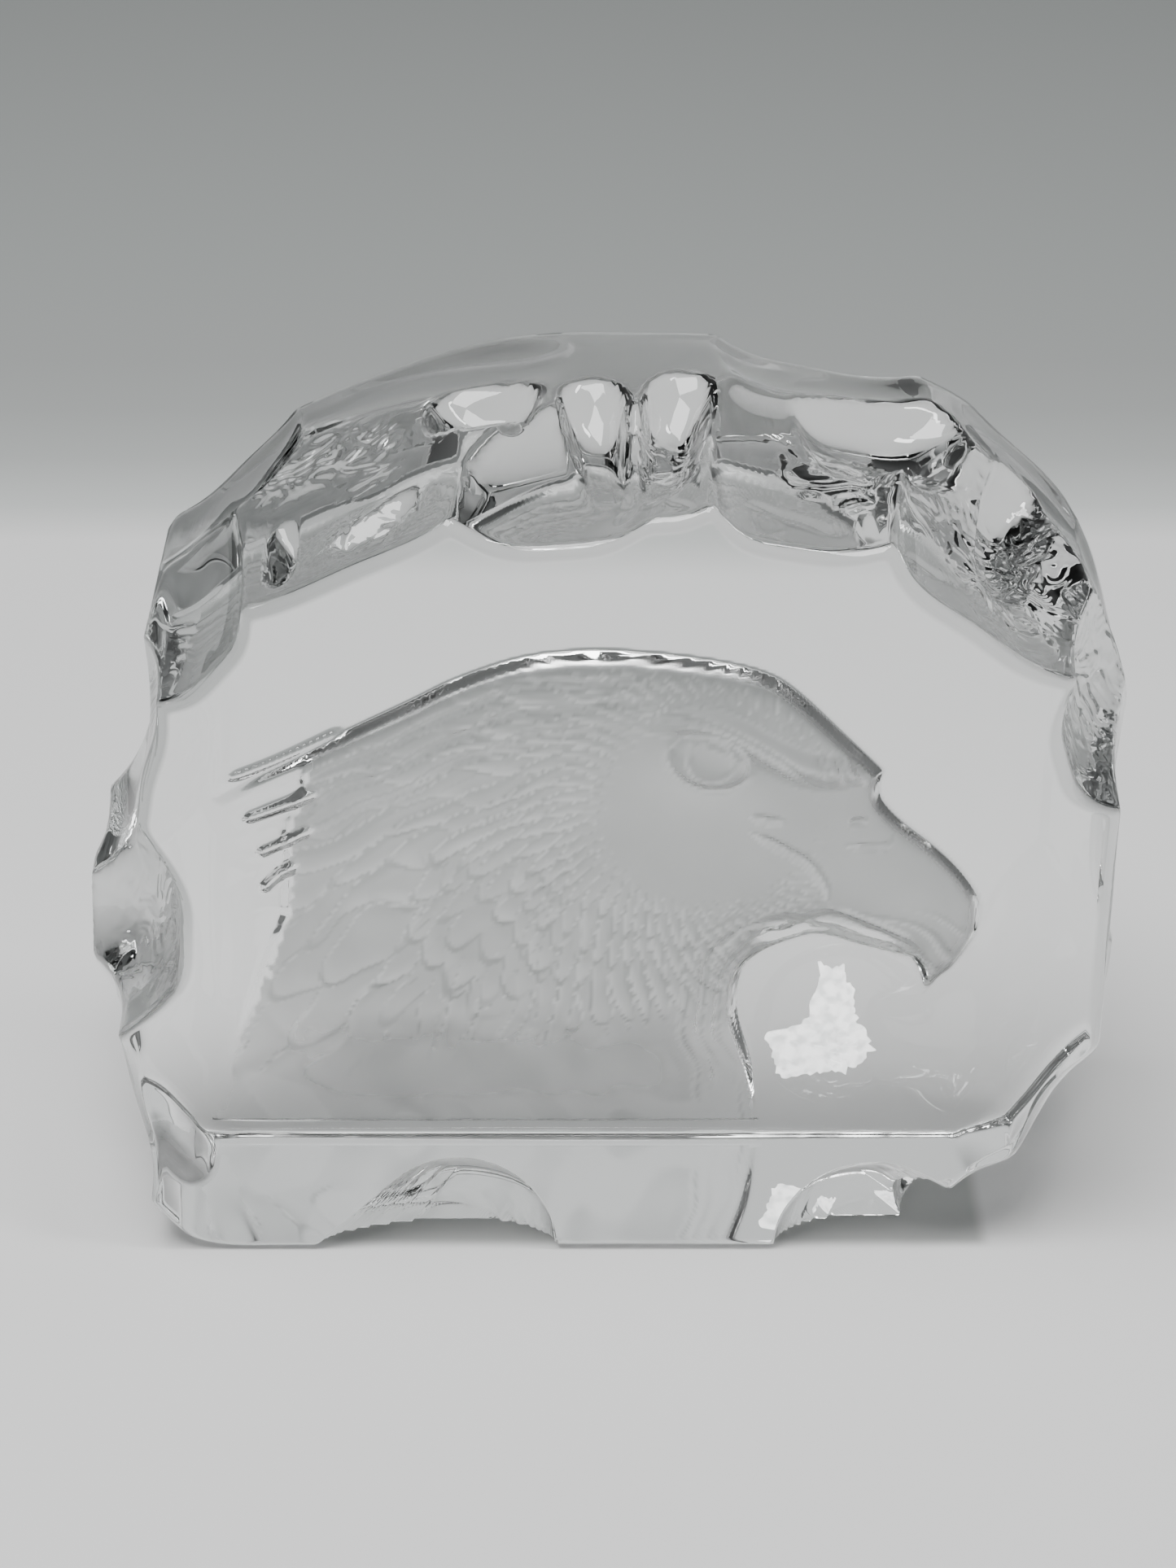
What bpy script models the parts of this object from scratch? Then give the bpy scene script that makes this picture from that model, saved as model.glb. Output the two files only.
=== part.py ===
"""Eagle head figurine: one thick slab of clear crystal that stands on a flat underside. Its rim is flaked
like a block of ice, its front is flat and polished, and an eagle's head is cut into its flat back, so that
the head stands out when it is looked at through the front.

For Blender 4.5: blender --background --python part.py. Metres, +Z up. The front faces -Y, and seen from
there the beak points to +X. The origin is the middle of the bounding box, on the underside."""

import math

import bmesh
import bpy
import numpy as np
from mathutils import Vector

# The block
BLOCK_WIDTH = 0.1092
BLOCK_HEIGHT = 0.0869
BLOCK_DEPTH = 0.0360
BELLY_HEIGHT = 0.0310        # height of the widest place above the underside
LOWER_REACH = 0.0440         # how far the outline would reach below the belly if the base were not cut flat
UPPER_LEFT_POWER = 2.25      # superellipse powers: 2 is an ellipse, more is squarer
UPPER_RIGHT_POWER = 2.75
LOWER_POWER = 2.6
GIRDLE_PLACE = 0.96          # share of the depth, front to back, where the block is widest
FRONT_DRAW = 0.0018          # how far the rim draws in from the girdle to the front
BACK_DRAW = 0.0008           # and from the girdle to the back
EDGE_RADIUS = 0.0012         # round of the fire-polished front and back edges
BASE_EDGE_SOFTNESS = 0.0030
RIDGE_SOFTNESS = 0.0004      # width over which a ridge between two flakes is melted round
SCOOP_POWER = 3              # of a flake's hollow: 2 is a bowl, more has a flatter floor, steeper walls
FLAKE_POWER = 8              # how closely two flakes that overlap keep to the deeper one

# Flakes struck off the rim: angle round the block from +X in degrees, place across it from front (0) to
# back (1), which lies in front of it for a flake that slopes steeply off the front edge, length along the
# rim, width across it, lean in degrees, and bite.
FLAKES = (
    (31, -0.17, 0.0191, 0.0520, 0, 0.0071),
    (51, -0.17, 0.0301, 0.0600, 6, 0.0067),
    (70, -0.17, 0.0220, 0.0660, -4, 0.0054),
    (86, -0.08, 0.0151, 0.0260, 0, 0.0032),
    (97, -0.08, 0.0220, 0.0440, 24, 0.0058),
    (117, -0.17, 0.0291, 0.0600, -4, 0.0035),
    (136, -0.17, 0.0170, 0.0600, 0, 0.0043),
    (152, 0.00, 0.0230, 0.0300, 0, 0.0042),
    (171, 0.02, 0.0320, 0.0420, -8, 0.0108),
    (-167, 0.00, 0.030, 0.034, 0, 0.0044),
    (-22, 0.00, 0.034, 0.040, 0, 0.0080),
    (4, 0.00, 0.056, 0.046, 0, 0.0042),
    (-34, 0.00, 0.022, 0.030, 0, 0.0104),
    (115, 0.17, 0.0150, 0.0066, -18, 0.0050),
    (125, 0.22, 0.0040, 0.0130, 4, 0.0052),
    (103, 0.56, 0.0120, 0.0100, 12, 0.0044),
    (91, 0.36, 0.0075, 0.0200, -8, 0.0056),
    (84, 0.38, 0.0075, 0.0220, 8, 0.0062),
    (63, 0.56, 0.0200, 0.0160, -12, 0.0056),
    (47, 0.46, 0.0100, 0.0240, 0, 0.0076),
    (110, 0.82, 0.0300, 0.0130, 8, 0.0010),
    (69, 0.88, 0.0210, 0.0160, -10, 0.0024),
    (45, 0.80, 0.0200, 0.0140, 12, 0.0012),
    (30, 0.76, 0.0200, 0.0150, -10, 0.0010),
    (132, 0.80, 0.0200, 0.0180, 10, 0.0020),
    (161, 0.50, 0.0340, 0.0700, 6, 0.0058),
    (7, 0.50, 0.0300, 0.0700, -8, 0.0030),
    (-10, 0.86, 0.0120, 0.0180, 0, 0.0014),
    (-27, 0.55, 0.0220, 0.0560, 6, 0.0036),
    (-179, 0.86, 0.0140, 0.0140, 0, 0.0016),
    (-164, 0.52, 0.0190, 0.0480, 8, 0.0030),
    (-150, 0.74, 0.0120, 0.0200, 0, 0.0024),
)

# Half-moon chips struck off the front edge of the underside: middle along x, width, height up the front and
# depth into the underside.
BASE_CHIPS = (
    (-0.0153, 0.0200, 0.0114, 0.0050),
    (0.0270, 0.0200, 0.0108, 0.0056),
)

# The carving, drawn on squares of about a millimetre, x towards the beak, z up. The head is 78.4 squares long
# from the tip of the topmost nape groove to the front of the beak.
HEAD_LENGTH = 0.0784
SQUARE = HEAD_LENGTH / 78.4
CROWN_WALL = 2.6             # depths in squares: how far the cut drops at once along the crown
BEAK_WALL = 1.2
THROAT_WALL = 2.0
WALL_RUN = 0.9               # squares over which it drops
WALL_BLEND = 3.0             # squares over which one run's wall blends into the next one's
HEAD_ROUND = 3.0             # how much deeper the middle of the head is than its edge
ROUND_REACH = 17.0           # squares from the edge to the full depth
FEATHER_RELIEF = 0.35
FEATHER_STEP = 0.6           # share of it in the step at each row's tips; the rest is each one's bulge

CROWN = ((-39.7, 41.5), (-34.1, 45.0), (-28.7, 48.1), (-20.3, 52.4), (-15.3, 55.0), (-8.8, 57.3),
         (-2.2, 58.1), (4.3, 57.8), (10.8, 56.9), (15.7, 55.6), (19.0, 53.5), (24.2, 48.4), (28.1, 44.5))
BEAK = ((28.1, 44.5), (27.7, 42.7), (28.3, 40.9), (30.5, 38.5), (34.0, 35.6), (36.7, 32.8), (38.6, 29.8),
        (38.9, 27.4), (38.5, 24.9), (36.5, 21.4), (35.0, 19.9), (33.7, 18.1))
CHIN = ((33.7, 18.1), (32.9, 20.9), (32.0, 22.4))
THROAT = ((32.0, 22.4), (26.8, 23.9), (22.3, 25.2), (19.1, 24.5), (15.8, 22.8), (14.1, 20.5), (13.8, 15.8),
          (15.7, 8.6), (16.6, 0.7), (17.2, -6.0))
FAR_CORNER = (-70.0, -40.0)  # past the nape and below the base, where the head's outline is closed
BROW = ((3.9, 51.0), (8.2, 51.4), (12.3, 50.3), (15.8, 48.2), (19.9, 46.0), (24.0, 45.2), (27.5, 44.2))
EYE_PLACE = (10.4, 45.9)
EYE_SIZE = (8.2, 5.5)
EYE_TILT = -14
EYE_SOCKET = 0.8             # how much the socket is sunk, and how far the ball stands out of it
EYE_BALL = 1.2
SOCKET_SPREAD = 1.6          # how wide the socket spreads round the eye
NOSTRIL_PLACE = (25.8, 40.1)
NOSTRIL_SIZE = (3.0, 2.2)
NOSTRIL_TILT = -10
NOSTRIL_SUNK = 0.9
CERE_EDGE = ((26.6, 41.0), (29.9, 39.3), (29.3, 37.4), (26.2, 37.5), (24.4, 38.1))
GAPE = ((14.1, 39.7), (17.2, 38.7), (20.3, 36.8), (22.5, 33.8), (22.8, 30.1))
UPPER_BEAK_EDGE = ((23.0, 29.7), (26.9, 28.3), (30.6, 26.0), (32.6, 24.7))
MOUTH = ((19.5, 28.4), (23.8, 27.6), (27.9, 26.4), (31.4, 24.5))

# Lines of the face: path, width, share of the length over which each end narrows, and how much it stands out
# (below 0 it is sunk)
FACE_LINES = (
    (BROW, 4.4, 0.2, 1.0),
    (GAPE, 2.2, 0.2, -0.7),
    (CERE_EDGE, 2.4, 0.2, -0.5),
    (MOUTH, 3.8, 0.3, -0.9),
    (UPPER_BEAK_EDGE, 2.6, 0.2, 0.4),
)
NAPE_GROOVES = (
    ((-39.4, 43.4), (-33.8, 46.1), (-26.3, 49.5)),
    ((-37.7, 39.1), (-33.2, 41.3), (-28.3, 43.8)),
    ((-35.5, 35.1), (-32.2, 37.4), (-27.9, 40.5)),
    ((-34.9, 31.1), (-33.0, 33.3), (-31.2, 35.2)),
)
GROOVE_DEPTH, GROOVE_WIDTH, GROOVE_TAPER = 1.0, 2.8, 0.35
FEATHER_CENTRE = (24.0, 34.0)        # the place in the face that the feather rows fan out from
FEATHER_LENGTH = 5.2                 # squares between rows
FEATHERS_ROUND = 9.0                 # feathers across in each radian
FEATHER_TWIST = 0.010                # radians that each square outwards turns the rows
FEATHER_POINT = 0.35                 # how far, in rows, a feather's middle reaches past its sides
FEATHER_FIELD = (20.0, 46.0)         # squares from the centre to the first and last feathers
FIELD_BLEND = 8.0
NECK_FADE = (-42.0, -24.0)   # the cut dies away to nothing between these two places on the nape's side
FOOT_FADE = (1.0, 18.0)      # and to a tenth between these heights above the base
FOOT_SHARE = 0.1

# How fine the surfaces are laid out
CARVED_LEFT, CARVED_RIGHT = -43.0, 43.0
CARVED_LOW, CARVED_HIGH = 1.7, 61.0
CORNER_DRAW = 0.07            # how much narrower the lowest row is, so that its corner stays inside the rim
COLUMNS, ROWS = 66, 46
EDGE_PULL = 0.5              # share of their distance that rows of the field move towards the head's edge
PULL_REACH = 1.5             # cells from the edge over which they do
RIM_STATIONS = (0.0, 0.010, 0.0333, 0.08, 0.14, 0.26, 0.39, 0.53, 0.67, 0.81, 0.9667, 0.990, 1.0)
BACK_RINGS = (0.5,)
FRONT_RING = 0.80
SHARP_ANGLE = 40.0           # degrees between faces, above which an edge is shaded sharp


def smoothstep(value):
    """0 below 0, 1 above 1, and an S curve between."""
    t = np.clip(value, 0.0, 1.0)
    return t * t * (3 - 2 * t)


def soft_positive(value, softness):
    """value where it is above softness, 0 where it is below -softness, and a parabola that joins the two."""
    near = np.clip(value + softness, 0.0, 2 * softness)
    return np.where(value > softness, value, near * near / (4 * softness))


def smooth_path(points, spans=6):
    """A Catmull-Rom curve through the points, as an array of places on it."""
    p = np.array(points, float)
    p = np.vstack([2 * p[0] - p[1], p, 2 * p[-1] - p[-2]])
    t = np.linspace(0, 1, spans, endpoint=False)[:, None]
    a, b, c, d = p[:-3, None], p[1:-2, None], p[2:-1, None], p[3:, None]
    curve = 0.5 * (2 * b + (c - a) * t + (2 * a - 5 * b + 4 * c - d) * t**2 + (3 * b - a - 3 * c + d) * t**3)
    return np.vstack([curve.reshape(-1, 2), p[-2]])


def nearest(x, z, path):
    """Distance to an open path, and the share of its length at the nearest place."""
    starts, runs = path[:-1], np.diff(path, axis=0)
    lengths = np.hypot(runs[:, 0], runs[:, 1])
    dx = x[..., None] - starts[:, 0]
    dz = z[..., None] - starts[:, 1]
    t = np.clip((dx * runs[:, 0] + dz * runs[:, 1]) / lengths**2, 0, 1)
    gaps = np.hypot(dx - t * runs[:, 0], dz - t * runs[:, 1])
    pick = gaps.argmin(-1)[..., None]
    before = np.concatenate([[0], np.cumsum(lengths)])
    share = (before[pick] + np.take_along_axis(t, pick, -1) * lengths[pick]) / before[-1]
    return np.take_along_axis(gaps, pick, -1)[..., 0], share[..., 0]


def enclosed(x, z, path):
    """Whether each place is inside the closed path, by counting the sides to its right."""
    ends = np.roll(path, -1, axis=0)
    crosses = (path[:, 1] > z[..., None]) != (ends[:, 1] > z[..., None])
    rise = np.where(ends[:, 1] == path[:, 1], 1e-12, ends[:, 1] - path[:, 1])
    at = path[:, 0] + (z[..., None] - path[:, 1]) * (ends[:, 0] - path[:, 0]) / rise
    return (crosses & (at > x[..., None])).sum(-1) % 2 == 1


def stroke(x, z, points, width, taper=0.0):
    """A round-topped line along the points, 1 in the middle and 0 at half its width. It narrows to nothing
    over the taper share at each end."""
    gap, share = nearest(x, z, smooth_path(points))
    swell = smoothstep(np.minimum(share, 1 - share) / taper) if taper else 1.0
    half = np.maximum(width / 2 * swell, 1e-6)
    return smoothstep(1 - gap / half) * swell


def oval(x, z, centre, size, tilt):
    """Squared distance from an oval's centre, 1 on its edge."""
    c, s = math.cos(math.radians(tilt)), math.sin(math.radians(tilt))
    dx, dz = x - centre[0], z - centre[1]
    return ((dx * c + dz * s) / (size[0] / 2)) ** 2 + ((dz * c - dx * s) / (size[1] / 2)) ** 2


EDGE_RUNS = (smooth_path(CROWN), smooth_path(BEAK), np.vstack([smooth_path(CHIN), smooth_path(THROAT)[1:]]))


def edge_gaps(x, z):
    """Squares to each run of the edge that the cut drops from: crown, beak, and chin with throat."""
    return np.stack([nearest(x, z, run)[0] for run in EDGE_RUNS])


def edge_distance(x, z):
    """Squares inside the head's edge, below 0 outside it."""
    far = np.array([FAR_CORNER, (FAR_CORNER[0], CROWN[0][1])])
    head = enclosed(x, z, np.vstack(EDGE_RUNS + (far,)))
    gap = edge_gaps(x, z).min(0)
    return np.where(head, gap, -gap)


def feather_rows(x, z):
    """Rows of rounded feathers that fan back and down from the face. Each row counts out from the face, and
    the feathers across it are counted round the face, half a feather on in every second row."""
    out = np.hypot(x - FEATHER_CENTRE[0], z - FEATHER_CENTRE[1])
    turn = np.arctan2(z - FEATHER_CENTRE[1], x - FEATHER_CENTRE[0]) % (2 * math.pi) + out * FEATHER_TWIST
    row = out / FEATHER_LENGTH
    across = turn * FEATHERS_ROUND + 0.5 * (np.floor(row) % 2)
    bulge = 1 - (2 * (across % 1.0) - 1) ** 2
    tip = (row - FEATHER_POINT * bulge) % 1.0
    first, last = FEATHER_FIELD
    field = smoothstep((out - first) / FIELD_BLEND) * smoothstep((last - out) / FIELD_BLEND)
    return field * (FEATHER_STEP * tip + (1 - FEATHER_STEP) * bulge)


def carved_depth(x, z):
    """How deep the back is cut at each place of the drawing, in squares. The deeper it is cut, the further
    the head stands out towards the front."""
    head = smoothstep(edge_distance(x, z) / WALL_RUN)
    gaps = edge_gaps(x, z)
    nearness = np.exp((gaps.min(0) - gaps) / WALL_BLEND)
    walls = np.array((CROWN_WALL, BEAK_WALL, THROAT_WALL)).reshape(3, *[1] * x.ndim)
    wall = (nearness * walls).sum(0) / nearness.sum(0)
    within = (np.maximum(gaps, 0.01) ** -3.0).sum(0) ** (-1 / 3)
    round_share = 1 - (1 - np.clip(within / ROUND_REACH, 0, 1)) ** 2
    depth = head * (wall + HEAD_ROUND * round_share + FEATHER_RELIEF * feather_rows(x, z))
    for path, width, taper, out in FACE_LINES:
        depth = depth + head * out * stroke(x, z, path, width, taper)
    eye = oval(x, z, EYE_PLACE, EYE_SIZE, EYE_TILT)
    depth = depth - EYE_SOCKET * np.exp(-eye / SOCKET_SPREAD) + EYE_BALL * np.clip(1 - eye, 0, 1)
    depth = depth - NOSTRIL_SUNK * np.exp(-oval(x, z, NOSTRIL_PLACE, NOSTRIL_SIZE, NOSTRIL_TILT))
    depth = depth * smoothstep((x - NECK_FADE[0]) / (NECK_FADE[1] - NECK_FADE[0]))
    for groove in NAPE_GROOVES:
        depth = depth + GROOVE_DEPTH * stroke(x, z, groove, GROOVE_WIDTH, GROOVE_TAPER)
    foot = smoothstep((z - FOOT_FADE[0]) / (FOOT_FADE[1] - FOOT_FADE[0]))
    return np.maximum(depth * (FOOT_SHARE + (1 - FOOT_SHARE) * foot), 0)


def drawn_in(x, z, cell):
    """The places near the head's edge moved towards it, so that the steep wall has rows of its own."""
    step = 0.01
    here = edge_distance(x, z)
    slope_x = (edge_distance(x + step, z) - here) / step
    slope_z = (edge_distance(x, z + step) - here) / step
    steep = np.maximum(np.hypot(slope_x, slope_z), 1.0)
    shift = -EDGE_PULL * here * np.exp(-((here / (PULL_REACH * cell)) ** 2)) / steep**2
    return x + shift * slope_x, z + shift * slope_z


def outline_radius(angle):
    """Distance from the belly's middle to the widest outline: a superellipse with its own power and reach in
    each quarter, cut off level at the underside."""
    c, s = np.cos(angle), np.sin(angle)
    upper = np.where(c > 0, UPPER_RIGHT_POWER, UPPER_LEFT_POWER)
    power = np.where(s > 0, upper, LOWER_POWER)
    reach = np.where(s > 0, BLOCK_HEIGHT - BELLY_HEIGHT, LOWER_REACH)
    return (np.abs(c / (BLOCK_WIDTH / 2)) ** power + np.abs(s / reach) ** power) ** (-1 / power)


def flaked(angle, y):
    """How much the flakes take off the rim at each place. A flake is a shallow scoop with a nearly level
    floor, whose walls rise ever more steeply, and where scoops meet they leave a soft ridge."""
    total = np.zeros(np.broadcast(angle, y).shape)
    for at, place, length, width, lean, bite in FLAKES:
        centre = math.radians(at)
        turn = (angle - centre + math.pi) % (2 * math.pi) - math.pi
        along = turn * outline_radius(np.array(centre))
        across = y - place * BLOCK_DEPTH
        c, s = math.cos(math.radians(lean)), math.sin(math.radians(lean))
        u = (along * c + across * s) / (length / 2)
        v = (across * c - along * s) / (width / 2)
        scoop = bite * (1 - abs(u) ** SCOOP_POWER - abs(v) ** SCOOP_POWER)
        total += soft_positive(scoop, RIDGE_SOFTNESS) ** FLAKE_POWER
    return total ** (1 / FLAKE_POWER)


def chipped(angle, y, radius):
    """The radius shortened to where its ray from the belly's middle enters an oval ball, struck off the front
    edge of the underside."""
    across, up = np.cos(angle), np.sin(angle)
    for middle, width, height, depth in BASE_CHIPS:
        half = width / 2
        square = (across / half) ** 2 + (up / height) ** 2
        slope = BELLY_HEIGHT * up / height**2 - middle * across / half**2
        rest = (middle / half) ** 2 + (BELLY_HEIGHT / height) ** 2 + (y / depth) ** 2 - 1
        root = slope**2 - square * rest
        entry = (-slope - np.sqrt(np.maximum(root, 0))) / square
        radius = np.where((root > 0) & (entry > 0), np.minimum(radius, entry), radius)
    return radius


def rim_radius(angle, y):
    """Distance from the belly's middle to the rim, at an angle and a depth from the front."""
    place = y / BLOCK_DEPTH
    front = np.clip(1 - place / GIRDLE_PLACE, 0, 1)
    back = np.clip((place - GIRDLE_PLACE) / (1 - GIRDLE_PLACE), 0, 1)
    radius = outline_radius(angle) - FRONT_DRAW * front - BACK_DRAW * back
    down = np.maximum(-np.sin(angle), 1e-9)
    floor = np.where(np.sin(angle) < 0, BELLY_HEIGHT / down, 1.0)
    overlap = np.clip(1 - np.abs(radius - floor) / BASE_EDGE_SOFTNESS, 0, 1)
    radius = np.minimum(radius, floor) - overlap**2 * BASE_EDGE_SOFTNESS / 4
    from_face = np.minimum(np.minimum(y, BLOCK_DEPTH - y), EDGE_RADIUS)
    rounded = EDGE_RADIUS - np.sqrt(np.maximum(EDGE_RADIUS**2 - (EDGE_RADIUS - from_face) ** 2, 0))
    return chipped(angle, y, radius - rounded - flaked(angle, y))


def carved_grid():
    """The back's carved field: a grid of places, its corners first to last, with the depth cut at each."""
    x, z = np.meshgrid(np.linspace(CARVED_LEFT, CARVED_RIGHT, COLUMNS + 1),
                       np.linspace(CARVED_LOW, CARVED_HIGH, ROWS + 1))
    x = CARVED_LEFT + (x - CARVED_LEFT) * (1 - CORNER_DRAW * smoothstep((20 - z) / 18))
    moved_x, moved_z = drawn_in(x, z, (CARVED_RIGHT - CARVED_LEFT) / COLUMNS)
    x[1:-1, 1:-1] = moved_x[1:-1, 1:-1]
    z[1:-1, 1:-1] = moved_z[1:-1, 1:-1]
    depth = carved_depth(x, z)
    return x * SQUARE, BLOCK_DEPTH - depth * SQUARE, z * SQUARE


def border(grid):
    """A grid's outermost entries, anticlockwise from its low left corner."""
    return np.concatenate([grid[0, :-1], grid[:-1, -1], grid[-1, :0:-1], grid[:0:-1, 0]])


def strip(bm, one, other):
    """Four-sided faces between two closed rings of as many vertices."""
    for quad in zip(one, np.roll(one, -1), np.roll(other, -1), other):
        bm.faces.new(quad)


def crystal_material():
    material = bpy.data.materials.new("clear_crystal")
    material.use_nodes = True
    shader = material.node_tree.nodes["Principled BSDF"]
    shader.inputs["Base Color"].default_value = (0.96, 0.98, 0.97, 1)
    shader.inputs["Roughness"].default_value = 0.02
    shader.inputs["Metallic"].default_value = 0.0
    shader.inputs["IOR"].default_value = 1.54
    shader.inputs["Transmission Weight"].default_value = 1.0
    return material


def crystal_block():
    """The slab as one closed body: the carved field, the flat back round it, the flaked rim and the front."""
    bm = bmesh.new()
    grid = carved_grid()
    rows = np.array([[bm.verts.new(place) for place in zip(*line)] for line in zip(*grid)])
    for low, high in zip(rows, rows[1:]):
        for quad in zip(low[:-1], high[:-1], high[1:], low[1:]):
            bm.faces.new(quad)
    ring_x, ring_z = border(grid[0]), border(grid[2])
    angle = np.arctan2(ring_z - BELLY_HEIGHT, ring_x)
    across, up = np.cos(angle), np.sin(angle)
    back = rim_radius(angle, np.array(BLOCK_DEPTH))
    places = [(BLOCK_DEPTH, ring_x + share * (back * across - ring_x),
               ring_z + share * (BELLY_HEIGHT + back * up - ring_z)) for share in BACK_RINGS]
    for station in reversed(RIM_STATIONS):
        radius = rim_radius(angle, np.array(station * BLOCK_DEPTH))
        places.append((station * BLOCK_DEPTH, radius * across, BELLY_HEIGHT + radius * up))
    front = rim_radius(angle, np.array(0.0)) * FRONT_RING
    places.append((0.0, front * across, BELLY_HEIGHT + front * up))
    inner = border(rows)
    for y, x, z in places:
        outer = np.array([bm.verts.new((a, y, b)) for a, b in zip(x, z)])
        strip(bm, inner, outer)
        inner = outer
    bm.faces.new(inner)
    bmesh.ops.recalc_face_normals(bm, faces=bm.faces)
    low = Vector([min(v.co[axis] for v in bm.verts) for axis in range(3)])
    high = Vector([max(v.co[axis] for v in bm.verts) for axis in range(3)])
    middle = (low + high) / 2
    bmesh.ops.translate(bm, verts=bm.verts, vec=(-middle.x, -middle.y, -low.z))
    mesh = bpy.data.meshes.new("crystal_block")
    bm.to_mesh(mesh)
    bm.free()
    mesh.shade_smooth()
    mesh.set_sharp_from_angle(angle=math.radians(SHARP_ANGLE))
    mesh.materials.append(crystal_material())
    block = bpy.data.objects.new("crystal_block", mesh)
    bpy.context.scene.collection.objects.link(block)
    return block


for old in list(bpy.data.objects):
    bpy.data.objects.remove(old)
crystal_block()
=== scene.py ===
"""Eagle head figurine of clear crystal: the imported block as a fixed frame, dressed with the same block finely
cut and frosted, a torn scrap of paper on its back, and a pale studio to look at it in.

Metres, +Z up. The flat front faces -Y, and seen from there the beak points to +X."""

import math

import bpy
import numpy as np
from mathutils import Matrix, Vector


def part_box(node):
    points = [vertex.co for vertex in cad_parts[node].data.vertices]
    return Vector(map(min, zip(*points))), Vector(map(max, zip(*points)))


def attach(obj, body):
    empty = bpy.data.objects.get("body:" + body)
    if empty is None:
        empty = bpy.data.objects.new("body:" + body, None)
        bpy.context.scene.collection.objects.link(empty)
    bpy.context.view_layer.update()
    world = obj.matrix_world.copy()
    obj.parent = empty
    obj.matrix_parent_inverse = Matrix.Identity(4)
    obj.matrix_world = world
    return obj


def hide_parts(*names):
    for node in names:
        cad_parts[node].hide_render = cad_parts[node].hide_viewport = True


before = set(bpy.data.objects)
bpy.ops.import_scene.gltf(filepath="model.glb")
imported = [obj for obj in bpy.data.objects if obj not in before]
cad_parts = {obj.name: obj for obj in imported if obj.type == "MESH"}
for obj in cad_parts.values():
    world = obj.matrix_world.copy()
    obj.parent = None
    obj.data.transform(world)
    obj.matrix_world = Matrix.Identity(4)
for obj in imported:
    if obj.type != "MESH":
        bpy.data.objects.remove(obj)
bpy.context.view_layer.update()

# The crystal block: one thick slab of clear crystal, pressed in a mould, that stands on its flat underside.
# Its front is flat and polished, its rim is flaked like ice and fire polished, and the eagle's head is cut
# into the flat back and frosted.

BLOCK_WIDTH = 0.1092
BLOCK_HEIGHT = 0.0869
BLOCK_DEPTH = 0.0360
BELLY_HEIGHT = 0.0310
LOWER_REACH = 0.0440
UPPER_LEFT_POWER = 2.25
UPPER_RIGHT_POWER = 2.75
LOWER_POWER = 2.6
GIRDLE_PLACE = 0.96
FRONT_DRAW = 0.0018
BACK_DRAW = 0.0008
EDGE_RADIUS = 0.0012
BASE_EDGE_SOFTNESS = 0.0030
RIDGE_SOFTNESS = 0.0004
SCOOP_POWER = 3
FLAKE_POWER = 8

# Flakes struck off the rim: angle round the block from +X in degrees, place across it from front (0) to
# back (1), which lies in front of it for a flake that slopes steeply off the front edge, length along the
# rim, width across it, lean in degrees, and bite.
FLAKES = (
    (31, -0.17, 0.0191, 0.0520, 0, 0.0071),
    (51, -0.17, 0.0301, 0.0600, 6, 0.0067),
    (70, -0.17, 0.0220, 0.0660, -4, 0.0054),
    (86, -0.08, 0.0151, 0.0260, 0, 0.0032),
    (97, -0.08, 0.0220, 0.0440, 24, 0.0058),
    (117, -0.17, 0.0291, 0.0600, -4, 0.0035),
    (136, -0.17, 0.0170, 0.0600, 0, 0.0043),
    (152, 0.00, 0.0230, 0.0300, 0, 0.0042),
    (171, 0.02, 0.0320, 0.0420, -8, 0.0108),
    (-167, 0.00, 0.030, 0.034, 0, 0.0044),
    (-22, 0.00, 0.034, 0.040, 0, 0.0080),
    (4, 0.00, 0.056, 0.046, 0, 0.0042),
    (-34, 0.00, 0.022, 0.030, 0, 0.0104),
    (115, 0.17, 0.0150, 0.0066, -18, 0.0050),
    (125, 0.22, 0.0040, 0.0130, 4, 0.0052),
    (103, 0.56, 0.0120, 0.0100, 12, 0.0044),
    (91, 0.36, 0.0075, 0.0200, -8, 0.0056),
    (84, 0.38, 0.0075, 0.0220, 8, 0.0062),
    (63, 0.56, 0.0200, 0.0160, -12, 0.0056),
    (47, 0.46, 0.0100, 0.0240, 0, 0.0076),
    (110, 0.82, 0.0300, 0.0130, 8, 0.0010),
    (69, 0.88, 0.0210, 0.0160, -10, 0.0024),
    (45, 0.80, 0.0200, 0.0140, 12, 0.0012),
    (30, 0.76, 0.0200, 0.0150, -10, 0.0010),
    (132, 0.80, 0.0200, 0.0180, 10, 0.0020),
    (161, 0.50, 0.0340, 0.0700, 6, 0.0058),
    (7, 0.50, 0.0300, 0.0700, -8, 0.0030),
    (-10, 0.86, 0.0120, 0.0180, 0, 0.0014),
    (-27, 0.55, 0.0220, 0.0560, 6, 0.0036),
    (-179, 0.86, 0.0140, 0.0140, 0, 0.0016),
    (-164, 0.52, 0.0190, 0.0480, 8, 0.0030),
    (-150, 0.74, 0.0120, 0.0200, 0, 0.0024),
)

# Half-moon chips struck off the front edge of the underside: middle along x, width, height up the front and
# depth into the underside.
BASE_CHIPS = (
    (-0.0153, 0.0200, 0.0114, 0.0050),
    (0.0270, 0.0200, 0.0108, 0.0056),
)

# A grey of painted shade laid on the rim, which stands in for dark surroundings that the pale studio doesn't
# have. It sets in between two heights, and on the left a share is added that is full from this far out.
RIM_PAINTED_SHADE = 0.58
RIM_SHADE_HEIGHTS = (0.020, 0.045)
LEFT_PAINTED_SHADE = 0.6
LEFT_REACH = 0.035

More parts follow.
